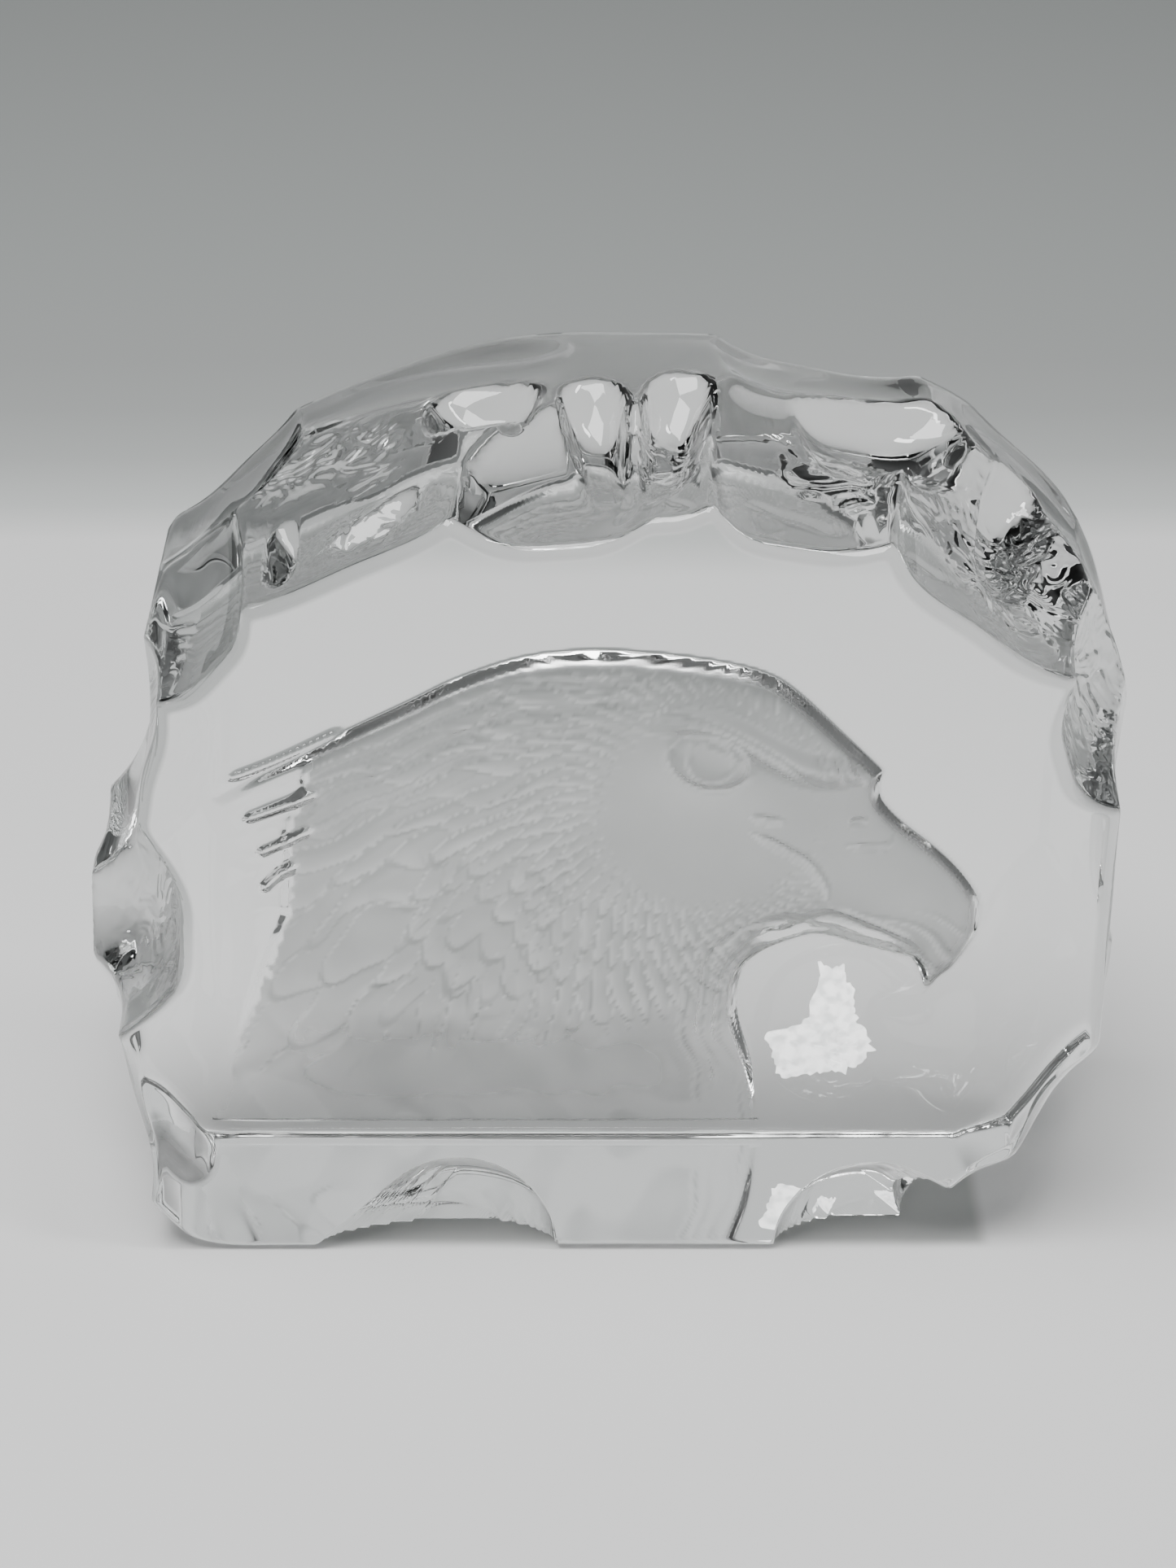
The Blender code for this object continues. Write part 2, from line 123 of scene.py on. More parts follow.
# Patches of the rim with fine ripples from the mould: angle and place as for a flake, length, width and
# strength.
RIPPLES = (
    (123, 0.62, 0.0110, 0.0110, 1.0),
    (115, 0.50, 0.0080, 0.0100, 0.8),
    (115, 0.17, 0.0130, 0.0060, 0.8),
    (84, 0.38, 0.0070, 0.0120, 0.5),
    (64, 0.40, 0.0180, 0.0120, 0.5),
    (47, 0.40, 0.0150, 0.0220, 0.8),
    (31, 0.35, 0.0150, 0.0200, 0.8),
    (14, 0.30, 0.0120, 0.0180, 0.5),
    (171, 0.30, 0.0240, 0.0180, 0.5),
)

# The carving is drawn on squares of a millimetre, x towards the beak, z up.
SQUARE = 0.001

# The wall that drops from the head's edge: its height along the crown, the beak and the throat, how many
# squares it takes, and over how many one run's wall blends into the next one's. Behind it the head rounds
# out over its reach.
CROWN_WALL = 2.6
BEAK_WALL = 1.2
THROAT_WALL = 2.0
WALL_RUN = 0.9
WALL_BLEND = 3.0
HEAD_ROUND = 3.0
ROUND_REACH = 17.0

CROWN = ((-39.7, 41.5), (-34.1, 45.0), (-28.7, 48.1), (-20.3, 52.4), (-15.3, 55.0), (-8.8, 57.3),
         (-2.2, 58.1), (4.3, 57.8), (10.8, 56.9), (15.7, 55.6), (19.0, 53.5), (24.2, 48.4), (28.1, 44.5))
BEAK = ((28.1, 44.5), (27.7, 42.7), (28.3, 40.9), (30.5, 38.5), (34.0, 35.6), (36.7, 32.8), (38.6, 29.8),
        (38.9, 27.4), (38.5, 24.9), (36.5, 21.4), (35.0, 19.9), (33.7, 18.1))
CHIN = ((33.7, 18.1), (32.9, 20.9), (32.0, 22.4))
THROAT = ((32.0, 22.4), (26.8, 23.9), (22.3, 25.2), (19.1, 24.5), (15.8, 22.8), (14.1, 20.5), (13.8, 15.8),
          (15.7, 8.6), (16.6, 0.7), (17.2, -6.0))
FAR_CORNER = (-70.0, -40.0)

# The eye: how far its socket is sunk and spreads, how far the ball stands out, and how deep its rim and the
# iris's edge are cut, with the width of each cut as a share of the oval.
EYE_PLACE = (10.2, 46.9)
EYE_SIZE = (8.6, 6.0)
EYE_TILT = -18
SOCKET_SUNK, SOCKET_SPREAD = 0.7, 1.7
BALL_OUT, BALL_POWER = 1.0, 0.7
RIM_CUT, RIM_CUT_WIDTH = 0.22, 0.10
IRIS_PLACE = (10.4, 47.2)
IRIS_SIZE = 4.6
IRIS_CUT, IRIS_CUT_WIDTH = 0.16, 0.14

# Lines of the face: path, width, share of the length over which each end narrows, and how much it stands out,
# or is sunk where that is below 0.
BROW = ((3.9, 51.0), (8.2, 51.2), (12.3, 50.0), (15.8, 47.9), (19.9, 45.8), (24.0, 45.0), (27.5, 44.4))
BROW_CUT = ((2.4, 52.5), (5.7, 52.0), (8.5, 51.6), (11.2, 50.6), (14.0, 49.1), (17.4, 46.9), (20.2, 44.6),
            (23.0, 43.2))
CERE_CUTS = (
    ((21.0, 48.4), (21.6, 46.6), (22.5, 44.0)),
    ((22.6, 48.0), (23.4, 46.2), (24.4, 43.4)),
    ((24.5, 46.8), (25.2, 45.6), (26.4, 43.6)),
)
EYE_CORNER = ((14.2, 40.7), (16.5, 40.1), (18.4, 39.8))
GAPE = ((14.2, 39.1), (17.7, 36.9), (20.5, 35.0), (22.3, 32.4), (23.0, 29.8))
CERE_EDGE = ((24.1, 36.9), (26.7, 36.6), (28.6, 36.6), (29.4, 37.9))
NOSTRIL = ((24.6, 38.9), (25.4, 39.4), (26.8, 39.1))
MOUTH = ((14.6, 27.4), (18.0, 27.8), (20.3, 27.6), (23.5, 28.2), (27.9, 26.4), (31.6, 24.7))
UPPER_BEAK_EDGE = ((22.7, 29.6), (26.5, 28.0), (30.6, 26.0), (32.3, 24.8))
TONGUE = ((22.0, 26.6), (25.4, 26.2), (29.0, 24.9), (31.4, 24.0))
FACE_LINES = (
    (BROW, 4.4, 0.2, 0.9),
    (BROW_CUT, 1.3, 0.3, -0.35),
    (CERE_CUTS[0], 1.1, 0.3, -0.30),
    (CERE_CUTS[1], 1.2, 0.3, -0.35),
    (CERE_CUTS[2], 1.2, 0.3, -0.35),
    (EYE_CORNER, 1.4, 0.3, -0.35),
    (GAPE, 1.5, 0.25, -0.45),
    (CERE_EDGE, 1.1, 0.3, -0.40),
    (NOSTRIL, 1.5, 0.3, -0.60),
    (MOUTH, 2.2, 0.25, -0.80),
    (UPPER_BEAK_EDGE, 1.2, 0.2, 0.45),
    (TONGUE, 1.6, 0.3, 0.40),
)
NAPE_GROOVES = (
    ((-39.8, 43.2), (-33.8, 45.7), (-26.3, 49.5)),
    ((-38.0, 38.8), (-33.8, 40.8), (-29.4, 43.2)),
    ((-36.6, 35.0), (-33.6, 36.8), (-30.0, 39.2)),
    ((-36.2, 30.8), (-34.0, 33.2), (-31.9, 34.9)),
)
GROOVE_DEPTH, GROOVE_WIDTH, GROOVE_TAPER = 0.8, 1.4, 0.14

# The cut dies away to nothing between two places on the nape's side, and to a share of itself between two
# heights above the base.
NECK_FADE = (-42.0, -24.0)
FOOT_FADE = (1.0, 18.0)
FOOT_SHARE = 0.1

# The lower beak is sunk and left clear under the mouth.
LOWER_BEAK = ((15.0, 25.6), (18.6, 26.4), (22.3, 26.6), (26.8, 25.4), (31.0, 23.8))
LOWER_BEAK_SUNK, LOWER_BEAK_WIDTH, LOWER_BEAK_TAPER = 0.9, 2.4, 0.12
CLEAR_WIDTH = 3.0

# The frost ends short of the nape, at this x for each height, with a small step down into it. It keeps this
# far from the edge along the crown, the beak and the throat.
FROST_END = ((2.0, -42.7), (4.8, -41.1), (10.3, -39.9), (23.9, -35.1), (28.5, -33.2), (35.6, -32.6),
             (38.2, -32.8), (43.2, -30.9), (46.0, -30.5), (50.0, -29.0))
FROST_STEP = 0.30
CROWN_MARGIN, BEAK_MARGIN, THROAT_MARGIN = 0.5, 0.4, 0.75
FROST_BLEND = 0.35

# Painted shade that greys the frost: at the foot, what the height adds, what the strip under the crown adds,
# what a slope adds where the relief faces down and takes away where it faces up, as painted shading, and what
# the lit clouds low on the neck take away. The steep wall gets painted shade by its own share.
FOOT_PAINTED_SHADE = 0.17
HEIGHT_PAINTED_SHADE = 0.70
CROWN_PAINTED_SHADE = 0.30
SLOPE_PAINTED_SHADE = 2.0
CLOUD_PAINTED_LIGHT = 0.75
WALL_PAINTED_SHADE = 0.45

# The feathers fan out from a place in the face, on a spiral. Heights of the rounded and the pointed feathers,
# periods and depths of the lines along the crown and down the throat, and the long locks low on the neck.
PLUME_CENTRE = (10.3, 41.3)
PLUME_TWIST = 0.45
ROUNDED_OUT, POINTED_OUT = 0.50, 0.38
HACKLE_PERIOD, HACKLE_CUT = 2.4, 0.30
STRAND_PERIOD, STRAND_CUT = 2.1, 0.32
LOCKS_ROUND, LOCKS_OUT = 24, 0.16

# The grid that the back is carved on. Its lowest row is narrower by a share, so that its corner stays inside
# the rim, and rows near the head's edge are pulled towards it by a share, within this many cells.
CARVED_LEFT, CARVED_RIGHT = -43.0, 43.0
CARVED_LOW, CARVED_HIGH = 1.7, 61.0
CORNER_DRAW = 0.07
COLUMNS, ROWS = 244, 168
EDGE_PULL = 0.4
PULL_REACH = 1.5
RIM_STATIONS = 47


def smoothstep(value):
    """0 below 0, 1 above 1, and an S curve between."""
    t = np.clip(value, 0.0, 1.0)
    return t * t * (3 - 2 * t)


def soft_positive(value, softness):
    """value where it is above softness, 0 where it is below -softness, and a parabola that joins the two."""
    near = np.clip(value + softness, 0.0, 2 * softness)
    return np.where(value > softness, value, near * near / (4 * softness))


def smooth_path(points, spans=6):
    """A Catmull-Rom curve through the points, as an array of places on it."""
    p = np.array(points, float)
    p = np.vstack([2 * p[0] - p[1], p, 2 * p[-1] - p[-2]])
    t = np.linspace(0, 1, spans, endpoint=False)[:, None]
    a, b, c, d = p[:-3, None], p[1:-2, None], p[2:-1, None], p[3:, None]
    square = (2 * a - 5 * b + 4 * c - d) * t**2
    curve = 0.5 * (2 * b + (c - a) * t + square + (3 * b - a - 3 * c + d) * t**3)
    return np.vstack([curve.reshape(-1, 2), p[-2]])


def nearest(x, z, path):
    """Distance to an open path, and the share of its length at the nearest place."""
    starts, runs = path[:-1], np.diff(path, axis=0)
    lengths = np.hypot(runs[:, 0], runs[:, 1])
    dx = x[..., None] - starts[:, 0]
    dz = z[..., None] - starts[:, 1]
    t = np.clip((dx * runs[:, 0] + dz * runs[:, 1]) / lengths**2, 0, 1)
    gaps = np.hypot(dx - t * runs[:, 0], dz - t * runs[:, 1])
    pick = gaps.argmin(-1)[..., None]
    before = np.concatenate([[0], np.cumsum(lengths)])
    share = (before[pick] + np.take_along_axis(t, pick, -1) * lengths[pick]) / before[-1]
    return np.take_along_axis(gaps, pick, -1)[..., 0], share[..., 0]


def enclosed(x, z, path):
    """Whether each place is inside the closed path, by counting the sides to its right."""
    ends = np.roll(path, -1, axis=0)
    crosses = (path[:, 1] > z[..., None]) != (ends[:, 1] > z[..., None])
    rise = np.where(ends[:, 1] == path[:, 1], 1e-12, ends[:, 1] - path[:, 1])
    at = path[:, 0] + (z[..., None] - path[:, 1]) * (ends[:, 0] - path[:, 0]) / rise
    return (crosses & (at > x[..., None])).sum(-1) % 2 == 1


def stroke(x, z, points, width, taper):
    """A round-topped line along the points, 1 in the middle and 0 at half its width. It narrows to nothing
    over the taper share at each end."""
    gap, share = nearest(x, z, smooth_path(points))
    swell = smoothstep(np.minimum(share, 1 - share) / taper)
    half = np.maximum(width / 2 * (0.3 + 0.7 * swell), 1e-6)
    return smoothstep(1 - gap / half) * swell


def oval(x, z, centre, size, tilt):
    """Squared distance from an oval's centre, 1 on its edge."""
    c, s = math.cos(math.radians(tilt)), math.sin(math.radians(tilt))
    dx, dz = x - centre[0], z - centre[1]
    return ((dx * c + dz * s) / (size[0] / 2)) ** 2 + ((dz * c - dx * s) / (size[1] / 2)) ** 2


def waves(x, z, size, seed):
    """Soft unevenness about 1 high: the sum of twelve plane sine waves, each about one size long and running
    in its own direction."""
    draw = np.random.default_rng(seed)
    total = np.zeros(np.broadcast(x, z).shape)
    for _ in range(12):
        turn, phase = draw.uniform(0, 2 * math.pi, 2)
        length = size * draw.uniform(0.7, 1.5)
        total += np.sin((x * math.cos(turn) + z * math.sin(turn)) * 2 * math.pi / length + phase)
    return total / math.sqrt(6)


EDGE_RUNS = (smooth_path(CROWN), smooth_path(BEAK), np.vstack([smooth_path(CHIN), smooth_path(THROAT)[1:]]))


def edge_gaps(x, z):
    """Squares to each run of the edge that the cut drops from: crown, beak, and chin with throat."""
    return np.stack([nearest(x, z, run)[0] for run in EDGE_RUNS])


def edge_distance(x, z, gaps):
    """Squares inside the head's edge, below 0 outside it."""
    far = np.array([FAR_CORNER, (FAR_CORNER[0], CROWN[0][1])])
    head = enclosed(x, z, np.vstack(EDGE_RUNS + (far,)))
    return np.where(head, gaps.min(0), -gaps.min(0))


def feathers(rows, across, point, seed):
    """Overlapping feathers in staggered rows: rows grows by one from row to row, across by one from feather
    to feather. Each feather swells towards its tip and falls away there, its tip reaches past its row by the
    point share at its middle, and each has its own height from a sine hash of its row and number."""
    row = np.floor(rows)
    share = rows - row
    place_before = across + 0.5 * ((row - 1) % 2)
    place_here = across + 0.5 * (row % 2)
    before = 1 - (2 * (place_before % 1.0) - 1) ** 2
    here = 1 - (2 * (place_here % 1.0) - 1) ** 2
    over = share < point * before
    along = np.clip(np.where(over, 1 + share - point * before, share - point * here), 0, 1)
    middle = np.where(over, before, here)
    name_before = (row - 1) * 57.1 + np.floor(place_before) * 13.7
    name_here = row * 57.1 + np.floor(place_here) * 13.7
    name = np.where(over, name_before, name_here)
    own = np.sin((name + seed) * 12.9898) * 43758.5453 % 1.0
    swell = along**2 * (1 - smoothstep((along - 0.8) / 0.2))
    return (0.4 + own) * swell * (0.4 + 0.6 * middle)


def plumage(x, z, gaps, inside):
    """The plumage that lies over the head's form: long hackles that follow the crown, short pointed feathers
    that fan back and down from the face on a spiral, rounded ones on the nape's side and strands down the
    throat. Each field fades into the next."""
    warp = 0.5 * waves(x, z, 9.0, 3)
    out = np.hypot(x - PLUME_CENTRE[0], z - PLUME_CENTRE[1]) + 1e-6
    turn = np.arctan2(z - PLUME_CENTRE[1], x - PLUME_CENTRE[0]) % (2 * math.pi)
    turn = turn - PLUME_TWIST * np.log(out / 20) + 0.02 * waves(x, z, 12.0, 5)
    reach = np.log(out)
    rounded = feathers(6.6 * reach + 0.10 * waves(x, z, 9.0, 8), 8.0 * turn, 0.5, 1)
    pointed = feathers(4.2 * reach + 0.20 * waves(x, z, 9.0, 9), 10.0 * turn, 0.9, 7)
    on_nape = np.exp(-(((x + 14) / 8.5) ** 2 + ((z - 26.5) / 7.5) ** 2) ** 1.5)
    cheek = smoothstep((out - 10) / 8) * smoothstep((z - 13 - 0.25 * x) / 5) * smoothstep((23 - x) / 6)
    relief = ROUNDED_OUT * on_nape * rounded + POINTED_OUT * cheek * (1 - on_nape) * pointed
    lines = np.cos(2 * math.pi * (gaps[0] / HACKLE_PERIOD + 0.14 * warp))
    band = smoothstep((gaps[0] - 1.2) / 1.0) * smoothstep((10 - gaps[0]) / 5) * smoothstep((9 - x) / 12)
    relief = relief - HACKLE_CUT * band * smoothstep((lines - 0.25) / 0.75)
    strands = np.cos(2 * math.pi * (gaps[2] / STRAND_PERIOD + 0.14 * waves(x, z, 8.0, 12)))
    throat = smoothstep((gaps[2] - 0.8) / 0.8) * smoothstep((8.5 - gaps[2]) / 4) * smoothstep((30 - z) / 8)
    relief = relief - STRAND_CUT * throat * smoothstep((strands - 0.1) / 0.9)
    locks = np.cos(LOCKS_ROUND * turn + 0.8 * waves(x, z, 14.0, 14)) * smoothstep((16 - z) / 8)
    relief = relief + LOCKS_OUT * locks
    return relief * smoothstep((inside - 0.9) / 1.2)


def fine_relief(x, z, gaps, inside):
    """The plumage, the lines of the face, the lower beak and the eye: a ball in a shallow socket with a rim
    and an iris. Each stands out above 0 or is sunk below it."""
    relief = plumage(x, z, gaps, inside)
    for path, width, taper, out in FACE_LINES:
        relief = relief + out * stroke(x, z, path, width, taper)
    relief = relief - LOWER_BEAK_SUNK * stroke(x, z, LOWER_BEAK, LOWER_BEAK_WIDTH, LOWER_BEAK_TAPER)
    eye = oval(x, z, EYE_PLACE, EYE_SIZE, EYE_TILT)
    relief = relief - SOCKET_SUNK * np.exp(-eye / SOCKET_SPREAD)
    relief = relief + BALL_OUT * np.clip(1 - eye, 0, 1) ** BALL_POWER
    relief = relief - RIM_CUT * np.exp(-((np.sqrt(eye) - 1.0) / RIM_CUT_WIDTH) ** 2)
    iris = np.hypot(x - IRIS_PLACE[0], z - IRIS_PLACE[1]) / (IRIS_SIZE / 2)
    return relief - IRIS_CUT * np.exp(-((iris - 1) / IRIS_CUT_WIDTH) ** 2)


def carved_depth(x, z):
    """How deep the back is cut at each place of the drawing, in squares, and how far the place is inside the
    head. The deeper it is cut, the further the head stands out towards the front."""
    gaps = edge_gaps(x, z)
    inside = edge_distance(x, z, gaps)
    head = smoothstep(inside / WALL_RUN)
    nearness = np.exp((gaps.min(0) - gaps) / WALL_BLEND)
    walls = np.array((CROWN_WALL, BEAK_WALL, THROAT_WALL)).reshape(3, *[1] * x.ndim)
    wall = (nearness * walls).sum(0) / nearness.sum(0)
    within = (np.maximum(gaps, 0.01) ** -3.0).sum(0) ** (-1 / 3)
    round_share = 1 - (1 - np.clip(within / ROUND_REACH, 0, 1)) ** 2
    depth = head * (wall + HEAD_ROUND * round_share + fine_relief(x, z, gaps, inside))
    depth = depth * smoothstep((x - NECK_FADE[0]) / (NECK_FADE[1] - NECK_FADE[0]))
    frost_x = np.interp(z, *np.array(FROST_END).T)
    below_crown = smoothstep(inside / 2.0)
    depth = depth + FROST_STEP * below_crown * smoothstep((x - frost_x + 1.2) / 1.2)
    for groove in NAPE_GROOVES:
        depth = depth + GROOVE_DEPTH * stroke(x, z, groove, GROOVE_WIDTH, GROOVE_TAPER)
    foot = smoothstep((z - FOOT_FADE[0]) / (FOOT_FADE[1] - FOOT_FADE[0]))
    return np.maximum(depth * (FOOT_SHARE + (1 - FOOT_SHARE) * foot), 0), inside, gaps


def frosting(x, z, inside, gaps):
    """1 where the cut is frosted: inside the head past the steep wall, right of the frost's end, and not in
    the grooves on the nape or on the lower beak."""
    run = gaps.argmin(0)
    margin = np.where(run == 0, CROWN_MARGIN, np.where(run == 1, BEAK_MARGIN, THROAT_MARGIN))
    frost = smoothstep((inside - margin) / FROST_BLEND)
    frost_x = np.interp(z, *np.array(FROST_END).T) + 0.25 * waves(x, z, 2.0, 21)
    frost = frost * smoothstep((x - frost_x) / FROST_BLEND)
    for groove in NAPE_GROOVES:
        frost = frost * (1 - smoothstep(3 * stroke(x, z, groove, GROOVE_WIDTH, GROOVE_TAPER)))
    return frost * (1 - smoothstep(2.5 * stroke(x, z, LOWER_BEAK, CLEAR_WIDTH, LOWER_BEAK_TAPER)))


def shading(x, z, inside, gaps, frost):
    """How much painted shade each place of the frost gets, which greys it: more high on the head, in a strip
    under the crown and where the fine relief rises towards the beak and the crown, so that it faces down, and
    less where it faces up and in lit clouds low on the neck. The steep wall along the crown and beak gets
    painted shade too."""
    step = 0.05
    here = fine_relief(x, z, gaps, inside)
    right = fine_relief(x + step, z, edge_gaps(x + step, z), inside)
    above = fine_relief(x, z + step, edge_gaps(x, z + step), inside)
    # The slope gives painted shading: relief that faces down is shaded, relief that faces up is lit.
    slope = (0.45 * (right - here) + 0.90 * (above - here)) / step
    cloud = smoothstep((waves(x, z, 11.0, 51) + 0.3) / 1.3) * smoothstep((19 - z) / 10)
    under_crown = np.exp(-(((gaps[0] - 0.7) / 0.5) ** 2))
    base_shade = FOOT_PAINTED_SHADE + HEIGHT_PAINTED_SHADE * smoothstep((z - 4) / 22) + CROWN_PAINTED_SHADE * under_crown
    painted_shade = frost * (base_shade + SLOPE_PAINTED_SHADE * np.clip(slope, -0.16, 0.24) - CLOUD_PAINTED_LIGHT * cloud)
    wall = smoothstep((inside + 0.3) / 0.3) * (1 - smoothstep((inside - 0.7) / 0.5)) * (gaps.argmin(0) < 2)
    return np.clip(painted_shade + WALL_PAINTED_SHADE * wall * (1 - frost), 0, 1)


def drawn_in(x, z, cell):
    """The places near the head's edge moved towards it, so that the steep wall has rows of its own."""
    step = 0.01
    here = edge_distance(x, z, edge_gaps(x, z))
    slope_x = (edge_distance(x + step, z, edge_gaps(x + step, z)) - here) / step
    slope_z = (edge_distance(x, z + step, edge_gaps(x, z + step)) - here) / step
    steep = np.maximum(np.hypot(slope_x, slope_z), 1.0)
    shift = -EDGE_PULL * here * np.exp(-((here / (PULL_REACH * cell)) ** 2)) / steep**2
    return x + shift * slope_x, z + shift * slope_z


def outline_radius(angle):
    """Distance from the belly's middle to the widest outline: a superellipse with its own power and reach in
    each quarter."""
    c, s = np.cos(angle), np.sin(angle)
    upper = np.where(c > 0, UPPER_RIGHT_POWER, UPPER_LEFT_POWER)
    power = np.where(s > 0, upper, LOWER_POWER)
    reach = np.where(s > 0, BLOCK_HEIGHT - BELLY_HEIGHT, LOWER_REACH)
    return (np.abs(c / (BLOCK_WIDTH / 2)) ** power + np.abs(s / reach) ** power) ** (-1 / power)


def flaked(angle, y):
    """How much the flakes take off the rim at each place. A flake is a shallow scoop, 1 less a power of the
    places along and across it, and where scoops meet they leave a soft ridge."""
    total = np.zeros(np.broadcast(angle, y).shape)
    for at, place, length, width, lean, bite in FLAKES:
        centre = math.radians(at)
        turn = (angle - centre + math.pi) % (2 * math.pi) - math.pi
        along = turn * outline_radius(np.array(centre))
        across = y - place * BLOCK_DEPTH
        c, s = math.cos(math.radians(lean)), math.sin(math.radians(lean))
        u = (along * c + across * s) / (length / 2)
        v = (across * c - along * s) / (width / 2)
        scoop = bite * (1 - abs(u) ** SCOOP_POWER - abs(v) ** SCOOP_POWER)
        total += soft_positive(scoop, RIDGE_SOFTNESS) ** FLAKE_POWER
    return total ** (1 / FLAKE_POWER)


def chipped(angle, y, radius):
    """The radius shortened to where its ray from the belly's middle enters an oval ball, struck off the front
    edge of the underside."""
    across, up = np.cos(angle), np.sin(angle)
    for middle, width, height, depth in BASE_CHIPS:
        half = width / 2
        square = (across / half) ** 2 + (up / height) ** 2
        slope = BELLY_HEIGHT * up / height**2 - middle * across / half**2
        rest = (middle / half) ** 2 + (BELLY_HEIGHT / height) ** 2 + (y / depth) ** 2 - 1
        root = slope**2 - square * rest
        entry = (-slope - np.sqrt(np.maximum(root, 0))) / square
        radius = np.where((root > 0) & (entry > 0), np.minimum(radius, entry), radius)
    return radius


def rim_radius(angle, y):
    """Distance from the belly's middle to the rim, at an angle and a depth from the front: the outline drawn
    in to the front and the back, cut off level at the underside, its edges rounded, less the flakes and the
    small unevenness of melted glass."""
    place = y / BLOCK_DEPTH
    front = np.clip(1 - place / GIRDLE_PLACE, 0, 1)
    back = np.clip((place - GIRDLE_PLACE) / (1 - GIRDLE_PLACE), 0, 1)
    radius = outline_radius(angle) - FRONT_DRAW * front - BACK_DRAW * back
    down = np.maximum(-np.sin(angle), 1e-9)
    floor = np.where(np.sin(angle) < 0, BELLY_HEIGHT / down, 1.0)
    overlap = np.clip(1 - np.abs(radius - floor) / BASE_EDGE_SOFTNESS, 0, 1)
    on_floor = smoothstep((radius - floor) / BASE_EDGE_SOFTNESS)
    radius = np.minimum(radius, floor) - overlap**2 * BASE_EDGE_SOFTNESS / 4
    from_face = np.minimum(np.minimum(y, BLOCK_DEPTH - y), EDGE_RADIUS)
    rounded = EDGE_RADIUS - np.sqrt(np.maximum(EDGE_RADIUS**2 - (EDGE_RADIUS - from_face) ** 2, 0))
    length = angle * BLOCK_WIDTH / 2
    lumps = 0.00005 * (1 + waves(length, y, 0.016, 31))
    radius = radius - rounded - flaked(angle, y) - lumps * (1 - on_floor)
    return chipped(angle, y, radius)


def rippled(angle, y):
    """How strongly the mould rippled each place of the rim: a flat-topped bell for each patch."""
    total = np.zeros(np.broadcast(angle, y).shape)
    for at, place, length, width, strength in RIPPLES:
        centre = math.radians(at)
        turn = (angle - centre + math.pi) % (2 * math.pi) - math.pi
        u = turn * outline_radius(np.array(centre)) / (length / 2)
        v = (y - place * BLOCK_DEPTH) / (width / 2)
        total += strength * np.exp(-((u**2 + v**2) ** 2))
    return np.clip(total, 0, 1)


def border(grid):
    """A grid's outermost entries, anticlockwise from its low left corner."""
    return np.concatenate([grid[0, :-1], grid[:-1, -1], grid[-1, :0:-1], grid[:0:-1, 0]])


def mesh_object(name, places, quads, caps=()):
    """An object at the origin whose mesh has these places, four-sided faces and many-sided caps."""
    mesh = bpy.data.meshes.new(name)
    mesh.from_pydata(places.tolist(), [], quads.tolist() + [list(cap) for cap in caps])
    mesh.update()
    mesh.shade_smooth()
    thing = bpy.data.objects.new(name, mesh)
    bpy.context.scene.collection.objects.link(thing)
    return thing


def carved_grid():
    """The carved back: a grid of places from the low left to the high right corner, how frosted each of them
    is, and how much painted shade it gets."""
    x, z = np.meshgrid(np.linspace(CARVED_LEFT, CARVED_RIGHT, COLUMNS + 1),
                       np.linspace(CARVED_LOW, CARVED_HIGH, ROWS + 1))
    x = CARVED_LEFT + (x - CARVED_LEFT) * (1 - CORNER_DRAW * smoothstep((20 - z) / 18))
    moved_x, moved_z = drawn_in(x, z, (CARVED_RIGHT - CARVED_LEFT) / COLUMNS)
    x[1:-1, 1:-1] = moved_x[1:-1, 1:-1]
    z[1:-1, 1:-1] = moved_z[1:-1, 1:-1]
    depth, inside, gaps = carved_depth(x, z)
    frost = frosting(x, z, inside, gaps)
    shade = shading(x, z, inside, gaps, frost)
    return np.stack([x * SQUARE, BLOCK_DEPTH - depth * SQUARE, z * SQUARE], -1), frost, shade


def rim_depths():
    """The rim's rings as depths from the back to the front: close together over the rounded edges, and
    between them a little closer towards the front than towards the back."""
    rounding = np.array((0.0, 0.05, 0.2, 0.5, 0.8, 1.0)) * EDGE_RADIUS / BLOCK_DEPTH
    spread = np.linspace(0, 1, RIM_STATIONS)
    across = rounding[-1] + (1 - 2 * rounding[-1]) * spread * (0.6 + 0.4 * spread)
    return np.concatenate([rounding, across[1:-1], 1 - rounding[::-1]])[::-1, None] * BLOCK_DEPTH


def fitted(places):
    """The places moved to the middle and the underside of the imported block's box, and kept inside it."""
    low, high = (np.array(corner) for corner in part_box("crystal_block"))
    middle = (places.min(0) + places.max(0)) / 2
    places[:, :2] += ((low + high) / 2 - middle)[:2]
    places[:, 2] += low[2] - places[:, 2].min()
    return np.clip(places, low, high)


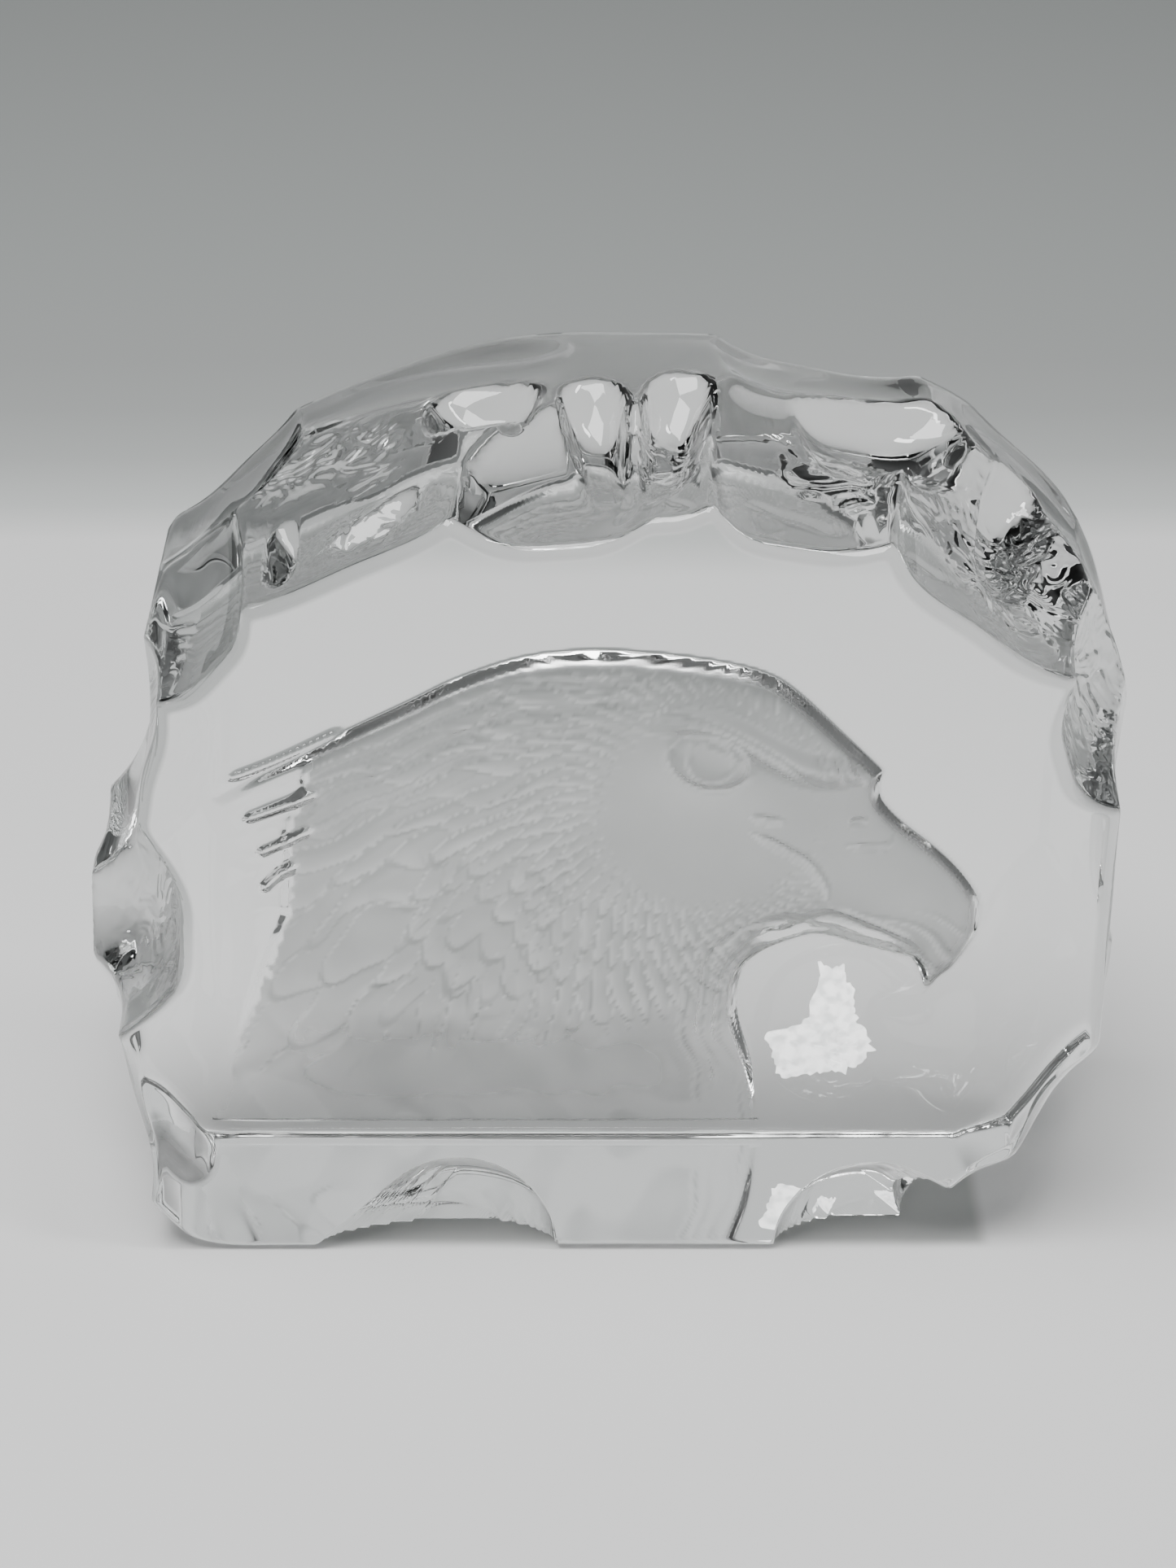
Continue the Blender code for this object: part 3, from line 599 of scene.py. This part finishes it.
def crystal_block():
    """The slab as one closed surface: the carved field is a grid, round it lie rings that run out over the
    flat back, across the flaked rim and in over the front, and a cap closes the front."""
    grid, frost, shade = carved_grid()
    ring_x, ring_z = border(grid[..., 0]), border(grid[..., 2])
    angle = np.arctan2(ring_z - BELLY_HEIGHT, ring_x)
    depths = rim_depths()
    radius = rim_radius(angle[None], depths)
    rim = np.stack([radius * np.cos(angle), np.broadcast_to(depths, radius.shape),
                    BELLY_HEIGHT + radius * np.sin(angle)], -1)
    flat = np.stack([ring_x, np.full_like(ring_x, BLOCK_DEPTH), ring_z], -1)
    back = flat + np.array((0.05, 0.3, 0.7, 0.97)).reshape(-1, 1, 1) * (rim[0] - flat)
    belly = np.array((0.0, 0.0, BELLY_HEIGHT))
    front = belly + np.array((0.99, 0.9)).reshape(-1, 1, 1) * (rim[-1] - belly)
    rings = np.concatenate([back, rim, front])
    places = fitted(np.vstack([grid.reshape(-1, 3), rings.reshape(-1, 3)]))
    number = np.arange(frost.size).reshape(frost.shape)
    around = len(ring_x)
    loops = np.vstack([border(number), frost.size + np.arange(len(rings) * around).reshape(-1, around)])
    field = np.stack([number[:-1, :-1], number[1:, :-1], number[1:, 1:], number[:-1, 1:]], -1)
    bands = np.stack([loops[:-1], np.roll(loops[:-1], -1, 1), np.roll(loops[1:], -1, 1), loops[1:]], -1)
    quads = np.vstack([field.reshape(-1, 4), bands.reshape(-1, 4)])
    slab = mesh_object("crystal_eagle_block", places, quads, [loops[-1]])
    # The shade layer holds painted shade: on the carving from shading(), on the rim the grey that stands in for
    # dark surroundings.
    grey, ripple = np.zeros((2, len(rings), around))
    on_rim = slice(len(back), len(back) + len(rim))
    leftward = 1 + LEFT_PAINTED_SHADE * smoothstep(-rim[..., 0] / LEFT_REACH)
    upward = smoothstep((rim[..., 2] - RIM_SHADE_HEIGHTS[0]) / (RIM_SHADE_HEIGHTS[1] - RIM_SHADE_HEIGHTS[0]))
    grey[on_rim] = np.minimum(RIM_PAINTED_SHADE * leftward * upward, 1)
    ripple[on_rim] = rippled(angle[None], depths)
    for name, on_grid, on_rings in (
            ("frost", frost, 0 * grey), ("shade", shade, grey), ("ripple", 0 * frost, ripple)):
        layer = slab.data.attributes.new(name, "FLOAT", "POINT")
        layer.data.foreach_set("value", np.concatenate([on_grid.ravel(), on_rings.ravel()]))
    return slab


def crystal_material():
    """Clear crystal, rougher where it is frosted, a little unevenly, as glass frosted by etching is. It is
    greyer where the painted shade is, and its surface curls where the ripples are."""
    material = bpy.data.materials.new("clear_and_frosted_crystal")
    material.use_nodes = True
    nodes, links = material.node_tree.nodes, material.node_tree.links
    shader = nodes["Principled BSDF"]
    shader.inputs["Metallic"].default_value = 0.0
    shader.inputs["IOR"].default_value = 1.54
    shader.inputs["Transmission Weight"].default_value = 1.0
    frost = nodes.new("ShaderNodeAttribute")
    frost.attribute_name = "frost"
    coordinates = nodes.new("ShaderNodeTexCoord")
    cloud = nodes.new("ShaderNodeTexNoise")
    cloud.inputs["Scale"].default_value = 140
    cloud.inputs["Detail"].default_value = 3
    spread = nodes.new("ShaderNodeMapRange")
    spread.inputs["From Min"].default_value = 0.3
    spread.inputs["From Max"].default_value = 0.7
    spread.inputs["To Min"].default_value = 0.50
    spread.inputs["To Max"].default_value = 0.62
    rough = nodes.new("ShaderNodeMath")
    rough.operation = "MULTIPLY"
    links.new(coordinates.outputs["Object"], cloud.inputs["Vector"])
    links.new(cloud.outputs["Fac"], spread.inputs["Value"])
    links.new(frost.outputs["Fac"], rough.inputs[0])
    links.new(spread.outputs["Result"], rough.inputs[1])
    links.new(rough.outputs["Value"], shader.inputs["Roughness"])
    # Painted shade: the shade layer greys the crystal's colour.
    shade = nodes.new("ShaderNodeAttribute")
    shade.attribute_name = "shade"
    greys = nodes.new("ShaderNodeValToRGB")
    greys.color_ramp.elements[0].color = (0.985, 0.992, 0.988, 1)
    greys.color_ramp.elements[1].color = (0.27, 0.285, 0.28, 1)
    links.new(shade.outputs["Fac"], greys.inputs["Fac"])
    links.new(greys.outputs["Color"], shader.inputs["Base Color"])
    ripple = nodes.new("ShaderNodeAttribute")
    ripple.attribute_name = "ripple"
    curls = nodes.new("ShaderNodeTexNoise")
    curls.inputs["Scale"].default_value = 280
    curls.inputs["Detail"].default_value = 1
    curls.inputs["Distortion"].default_value = 1.5
    raised = nodes.new("ShaderNodeMath")
    raised.operation = "MULTIPLY"
    bump = nodes.new("ShaderNodeBump")
    bump.inputs["Distance"].default_value = 0.0011
    links.new(coordinates.outputs["Object"], curls.inputs["Vector"])
    links.new(curls.outputs["Fac"], raised.inputs[0])
    links.new(ripple.outputs["Fac"], raised.inputs[1])
    links.new(raised.outputs["Value"], bump.inputs["Height"])
    links.new(bump.outputs["Normal"], shader.inputs["Normal"])
    return material


block = crystal_block()
block.data.materials.append(crystal_material())
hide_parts("crystal_block")
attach(block, "root")

# The torn scrap of a white paper sticker, left stuck to the flat back below the beak. Its outline is drawn on
# the carving's squares, and its edge wanders by this many of them.

PAPER_EDGE = ((22.3, 21.2), (25.0, 21.2), (25.2, 19.9), (26.1, 17.9), (26.8, 14.9), (27.2, 13.0),
              (28.6, 10.7), (27.9, 9.5), (26.7, 8.5), (25.7, 7.8), (22.0, 7.7), (18.7, 7.3), (18.2, 8.5),
              (17.1, 12.8), (19.1, 13.2), (20.5, 13.9), (21.6, 15.9), (22.3, 18.2), (22.7, 19.8))
PAPER_WOBBLE = 0.35
PAPER_THICKNESS = 0.00010
PAPER_GAP = 0.00003


def torn_sheet(name, outline, wobble, lift, thickness):
    """A thin plate of the closed outline, which is resampled every third of a millimetre and whose edge
    wanders in and out by the wobble."""
    path = np.array(outline + outline[:1], float)
    lengths = np.hypot(*np.diff(path, axis=0).T)
    reach = np.concatenate([[0], np.cumsum(lengths)])
    at = np.arange(0, reach[-1] - 0.15, 0.33)
    x, z = np.interp(at, reach, path[:, 0]), np.interp(at, reach, path[:, 1])
    out_x, out_z = x - x.mean(), z - z.mean()
    size = np.hypot(out_x, out_z)
    step = wobble * (0.6 * waves(x, z, 1.1, 41) + 0.6 * waves(x, z, 3.0, 42))
    x, z = (x + step * out_x / size) * SQUARE, (z + step * out_z / size) * SQUARE
    near = np.stack([x, np.full_like(x, lift), z], -1)
    far = near + np.array((0, thickness, 0))
    count = len(x)
    first, second = np.arange(count), np.arange(count) + count
    sides = np.stack([first, second, np.roll(second, -1), np.roll(first, -1)], -1)
    if np.sum(x * np.roll(z, -1) - z * np.roll(x, -1)) > 0:
        caps, sides = [first, second[::-1]], sides[:, ::-1]
    else:
        caps = [first[::-1], second]
    sheet = mesh_object(name, np.vstack([near, far]), sides, caps)
    sheet.data.shade_flat()
    return sheet


def paper_material():
    """White paper seen from its glued side, mottled with light grey where the glue has come away. It is given
    transmission, and an emission of painted light, which real paper hasn't, so that it looks bright enough
    through the crystal."""
    material = bpy.data.materials.new("torn_white_paper")
    material.use_nodes = True
    nodes, links = material.node_tree.nodes, material.node_tree.links
    shader = nodes["Principled BSDF"]
    shader.inputs["Roughness"].default_value = 0.9
    shader.inputs["Metallic"].default_value = 0.0
    shader.inputs["IOR"].default_value = 1.1
    shader.inputs["Transmission Weight"].default_value = 0.7
    # Painted light: the paper glows.
    shader.inputs["Emission Strength"].default_value = 0.92
    coordinates = nodes.new("ShaderNodeTexCoord")
    mottle = nodes.new("ShaderNodeTexNoise")
    mottle.inputs["Scale"].default_value = 900
    mottle.inputs["Detail"].default_value = 4
    tones = nodes.new("ShaderNodeValToRGB")
    tones.color_ramp.elements[0].position = 0.36
    tones.color_ramp.elements[0].color = (0.75, 0.76, 0.76, 1)
    tones.color_ramp.elements[1].position = 0.56
    tones.color_ramp.elements[1].color = (1.0, 1.0, 1.0, 1)
    links.new(coordinates.outputs["Object"], mottle.inputs["Vector"])
    links.new(mottle.outputs["Fac"], tones.inputs["Fac"])
    links.new(tones.outputs["Color"], shader.inputs["Base Color"])
    links.new(tones.outputs["Color"], shader.inputs["Emission Color"])
    return material


back_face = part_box("crystal_block")[1][1]
paper = torn_sheet("paper_scrap", PAPER_EDGE, PAPER_WOBBLE, back_face + PAPER_GAP, PAPER_THICKNESS)
paper.data.materials.append(paper_material())
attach(paper, "root")

# The studio: a wide pale floor that darkens to grey far behind the block, where a grey backdrop and the shade
# on it are painted, soft light from above and the camera, which looks down at the front.

FLOOR_HALF = 1.2
FLOOR_DROP = 0.0002

# Far behind the block the floor stands for a grey backdrop, whose grey and the shade on it are painted: how
# far behind the block it starts to darken and where it is darkest, and its greys in between at shares of that
# way. A shade painted under the block reaches this far from its middle along x and y.
BACKDROP_GREY_AND_SHADE_SPAN = (0.160, 0.300)
BACKDROP_GREYS_AND_SHADE = ((0.095, 0.475), (0.238, 0.357), (0.39, 0.306), (0.563, 0.286))
CONTACT_HALVES = (("X", 0.0400), ("Y", 0.0178))
CONTACT_BLEND = 0.002


def studio_floor():
    """One flat square sheet just under the block."""
    side = np.array((-FLOOR_HALF, FLOOR_HALF))
    x, y = np.meshgrid(side, side)
    places = np.stack([x, y, np.full_like(x, -FLOOR_DROP)], -1).reshape(-1, 3)
    return mesh_object("studio_floor", places, np.array([[0, 1, 3, 2]]))


def floor_material():
    """Matt pale grey, darker far behind the block, where a grey backdrop and the shade on it are painted, and
    in the block's painted contact shade.
    """
    material = bpy.data.materials.new("pale_matt_paint")
    material.use_nodes = True
    nodes, links = material.node_tree.nodes, material.node_tree.links
    shader = nodes["Principled BSDF"]
    shader.inputs["Roughness"].default_value = 0.7
    shader.inputs["Specular IOR Level"].default_value = 0.2
    coordinates = nodes.new("ShaderNodeTexCoord")
    parts = nodes.new("ShaderNodeSeparateXYZ")
    # Far behind the block: the painted grey of a backdrop and the shade on it.
    far = nodes.new("ShaderNodeMapRange")
    far.inputs["From Min"].default_value = BACKDROP_GREY_AND_SHADE_SPAN[0]
    far.inputs["From Max"].default_value = BACKDROP_GREY_AND_SHADE_SPAN[1]
    tones = nodes.new("ShaderNodeValToRGB")
    tones.color_ramp.elements[0].color = (0.66, 0.66, 0.66, 1)
    tones.color_ramp.elements[1].color = (0.285, 0.299, 0.295, 1)
    for place, grey in BACKDROP_GREYS_AND_SHADE:
        tones.color_ramp.elements.new(place).color = (grey, grey * 1.035, grey * 1.025, 1)
    links.new(coordinates.outputs["Object"], parts.inputs["Vector"])
    links.new(parts.outputs["Y"], far.inputs["Value"])
    links.new(far.outputs["Result"], tones.inputs["Fac"])
    # Painted contact shade under the block.
    under = None
    for axis, half in CONTACT_HALVES:
        size = nodes.new("ShaderNodeMath")
        size.operation = "ABSOLUTE"
        edge = nodes.new("ShaderNodeMapRange")
        edge.interpolation_type = "SMOOTHSTEP"
        edge.inputs["From Min"].default_value = half
        edge.inputs["From Max"].default_value = half - CONTACT_BLEND
        links.new(parts.outputs[axis], size.inputs[0])
        links.new(size.outputs["Value"], edge.inputs["Value"])
        if under is None:
            under = edge.outputs["Result"]
        else:
            both = nodes.new("ShaderNodeMath")
            both.operation = "MULTIPLY"
            links.new(under, both.inputs[0])
            links.new(edge.outputs["Result"], both.inputs[1])
            under = both.outputs["Value"]
    contact = nodes.new("ShaderNodeMix")
    contact.data_type = "RGBA"
    contact.inputs["B"].default_value = (0.36, 0.367, 0.36, 1)
    links.new(under, contact.inputs["Factor"])
    links.new(tones.outputs["Color"], contact.inputs["A"])
    links.new(contact.outputs["Result"], shader.inputs["Base Color"])
    return material


floor = studio_floor()
floor.data.materials.append(floor_material())

# The air is dim in front and above, and bright far behind.
world = bpy.data.worlds.new("studio_air")
bpy.context.scene.world = world
world.use_nodes = True
sky_nodes, sky_links = world.node_tree.nodes, world.node_tree.links
direction = sky_nodes.new("ShaderNodeTexCoord")
sky_parts = sky_nodes.new("ShaderNodeSeparateXYZ")
backward = sky_nodes.new("ShaderNodeMapRange")
backward.inputs["From Min"].default_value = 0.45
backward.inputs["From Max"].default_value = 0.85
sky = sky_nodes.new("ShaderNodeValToRGB")
sky.color_ramp.elements[0].position = 0.0
sky.color_ramp.elements[0].color = (0.12, 0.125, 0.125, 1)
sky.color_ramp.elements[1].position = 1.0
sky.color_ramp.elements[1].color = (0.85, 0.87, 0.87, 1)
sky_links.new(direction.outputs["Generated"], sky_parts.inputs["Vector"])
sky_links.new(sky_parts.outputs["Y"], backward.inputs["Value"])
sky_links.new(backward.outputs["Result"], sky.inputs["Fac"])
sky_links.new(sky.outputs["Color"], sky_nodes["Background"].inputs["Color"])


def softbox(name, place, target, size, power):
    """A large square area light that faces its target."""
    light = bpy.data.lights.new(name, "AREA")
    light.shape = "RECTANGLE"
    light.size, light.size_y = size
    light.energy = power
    lamp = bpy.data.objects.new(name, light)
    offset = np.array(target) - np.array(place)
    lamp.location = place
    lamp.rotation_euler = (math.pi / 2 + math.atan2(offset[2], math.hypot(offset[0], offset[1])), 0,
                           math.atan2(offset[1], offset[0]) - math.pi / 2)
    bpy.context.scene.collection.objects.link(lamp)


softbox("overhead_softbox", (-0.14, -0.18, 0.82), (0.0, 0.0, 0.04), (0.55, 0.45), 10.7)
softbox("small_softbox", (0.16, -0.06, 0.55), (0.0, 0.0, 0.06), (0.05, 0.16), 0.9)

camera = bpy.data.objects.new("camera", bpy.data.cameras.new("camera"))
camera.location = (-0.00204, -0.259, 0.1884)
camera.rotation_euler = (math.radians(61.0), 0, 0)
camera.data.sensor_width = 36.0
camera.data.lens = 67.25
camera.data.clip_start = 0.01
bpy.context.scene.collection.objects.link(camera)
bpy.context.scene.camera = camera
